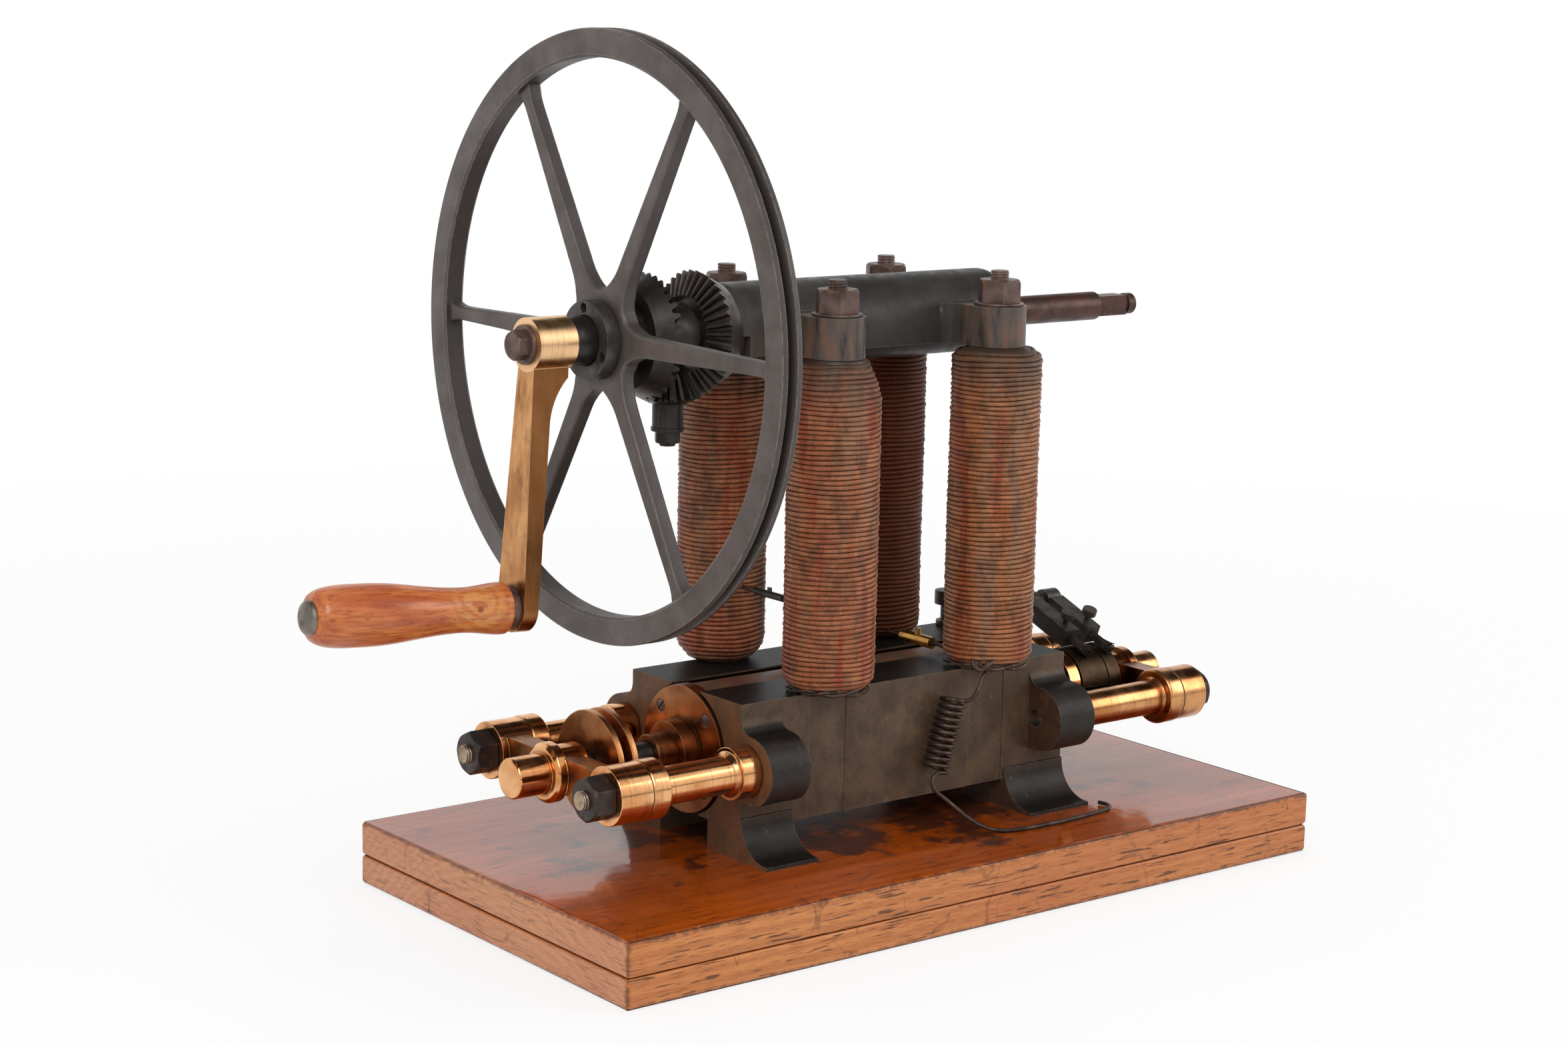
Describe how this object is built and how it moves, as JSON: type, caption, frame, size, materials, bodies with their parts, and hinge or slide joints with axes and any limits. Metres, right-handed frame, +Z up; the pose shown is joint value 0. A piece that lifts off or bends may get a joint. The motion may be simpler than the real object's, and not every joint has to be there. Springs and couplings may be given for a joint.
{
  "type": "hand-cranked dynamo",
  "caption": "Hand-cranked shuttle-armature dynamo: a crank drives a large spoked wheel through bevel gears beside upright field coils, over a grooved pulley on a wooden base.",
  "frame": {"origin": "centre of the underside of the base", "axes": "+X along the shafts from the crank to the free shaft end, +Y across to the far side, +Z up"},
  "size_m": [0.5602, 0.3, 0.445],
  "materials": {
    "varnished_oak": "worn varnish",
    "varnished_beech": "worn varnish",
    "dark_cast_iron": "old dark paint",
    "lacquered_bronze": "polished and lacquered",
    "cotton_covered_wire": "shellacked cotton",
    "dull_copper": "tarnished",
    "ebonite": "matt black",
    "browned_steel": "browned",
    "dark_steel": "darkened"
  },
  "bodies": {
    "frame": {"base_lower_board": "varnished_oak", "base_upper_board": "varnished_oak", "foot_bolts": "dark_steel", "pole_piece_near": "dark_cast_iron", "pole_piece_far": "dark_cast_iron", "core_near_left": "dark_steel", "core_near_right": "dark_steel", "core_far_left": "dark_steel", "core_far_right": "dark_steel", "coil_near_left": "cotton_covered_wire", "coil_near_right": "cotton_covered_wire", "coil_far_left": "cotton_covered_wire", "coil_far_right": "cotton_covered_wire", "yoke": "dark_cast_iron", "yoke_washers": "dark_steel", "yoke_nuts": "dark_steel", "fixed_bevel_gear": "dark_cast_iron", "front_bridge": "lacquered_bronze", "rear_bridge": "lacquered_bronze", "pillar_front_near": "lacquered_bronze", "pillar_front_far": "lacquered_bronze", "pillar_rear_near": "lacquered_bronze", "pillar_rear_far": "lacquered_bronze", "pillar_studs": "dark_steel", "pillar_nuts": "dark_steel", "brush_bracket": "dark_cast_iron", "lead_sleeves": "lacquered_bronze", "coil_leads": "dull_copper", "terminal_post": "dark_steel"},
    "wheel": {"drive_wheel": "dark_cast_iron", "hub_ring": "dark_cast_iron", "wheel_bevel_gear": "dark_cast_iron"},
    "crank": {"crank_shaft": "browned_steel", "crank_arm": "lacquered_bronze", "crank_washer": "dark_steel", "crank_bolt": "dark_steel", "handle_spindle": "dark_steel", "handle_ferrule": "dark_steel", "shaft_collar": "dark_steel", "planet_carrier": "dark_cast_iron", "planet_stud": "dark_steel", "planet_washer": "dark_steel", "planet_nut": "dark_steel"},
    "planet": {"planet_gear": "dark_cast_iron"},
    "grip": {"handle_grip": "varnished_beech"},
    "armature": {"armature_shaft": "dark_steel", "armature_core": "dark_steel", "armature_winding": "cotton_covered_wire", "end_disc_front": "lacquered_bronze", "end_disc_rear": "lacquered_bronze", "end_disc_screws": "dark_steel", "pulley": "lacquered_bronze", "commutator_flange": "lacquered_bronze", "commutator_bush": "ebonite", "commutator_segments": "dull_copper", "commutator_ring": "dull_copper"},
    "brush_gear": {"brush_spindle": "dark_steel", "brush_holders": "dark_steel", "wire_brushes": "dull_copper", "thumb_screws": "dark_steel"}
  },
  "joints": [
    {"name": "wheel_spin", "type": "hinge", "parent": "frame", "child": "wheel", "pos_m": [-0.16403, 0, 0.295], "axis": [1, 0, 0], "continuous": true},
    {"name": "crank_turn", "type": "hinge", "parent": "frame", "child": "crank", "pos_m": [0, 0, 0.295], "axis": [1, 0, 0], "continuous": true},
    {"name": "planet_spin", "type": "hinge", "parent": "crank", "child": "planet", "pos_m": [-0.12403, 0, 0.255], "axis": [0, 0, 1], "continuous": true},
    {"name": "grip_spin", "type": "hinge", "parent": "crank", "child": "grip", "pos_m": [-0.21652, 0, 0.16729], "axis": [-0.9976, 0, 0.0698], "continuous": true},
    {"name": "armature_spin", "type": "hinge", "parent": "frame", "child": "armature", "pos_m": [0, 0, 0.0815], "axis": [1, 0, 0], "continuous": true},
    {"name": "brush_lift", "type": "hinge", "parent": "frame", "child": "brush_gear", "pos_m": [0.13, 0.03802, 0.12057], "axis": [1, 0, 0], "range_deg": [-35, 0]}
  ],
  "couplings": [
    {"joint": "crank_turn", "follows": "wheel_spin", "ratio": 0.5},
    {"joint": "planet_spin", "follows": "wheel_spin", "ratio": -1}
  ]
}
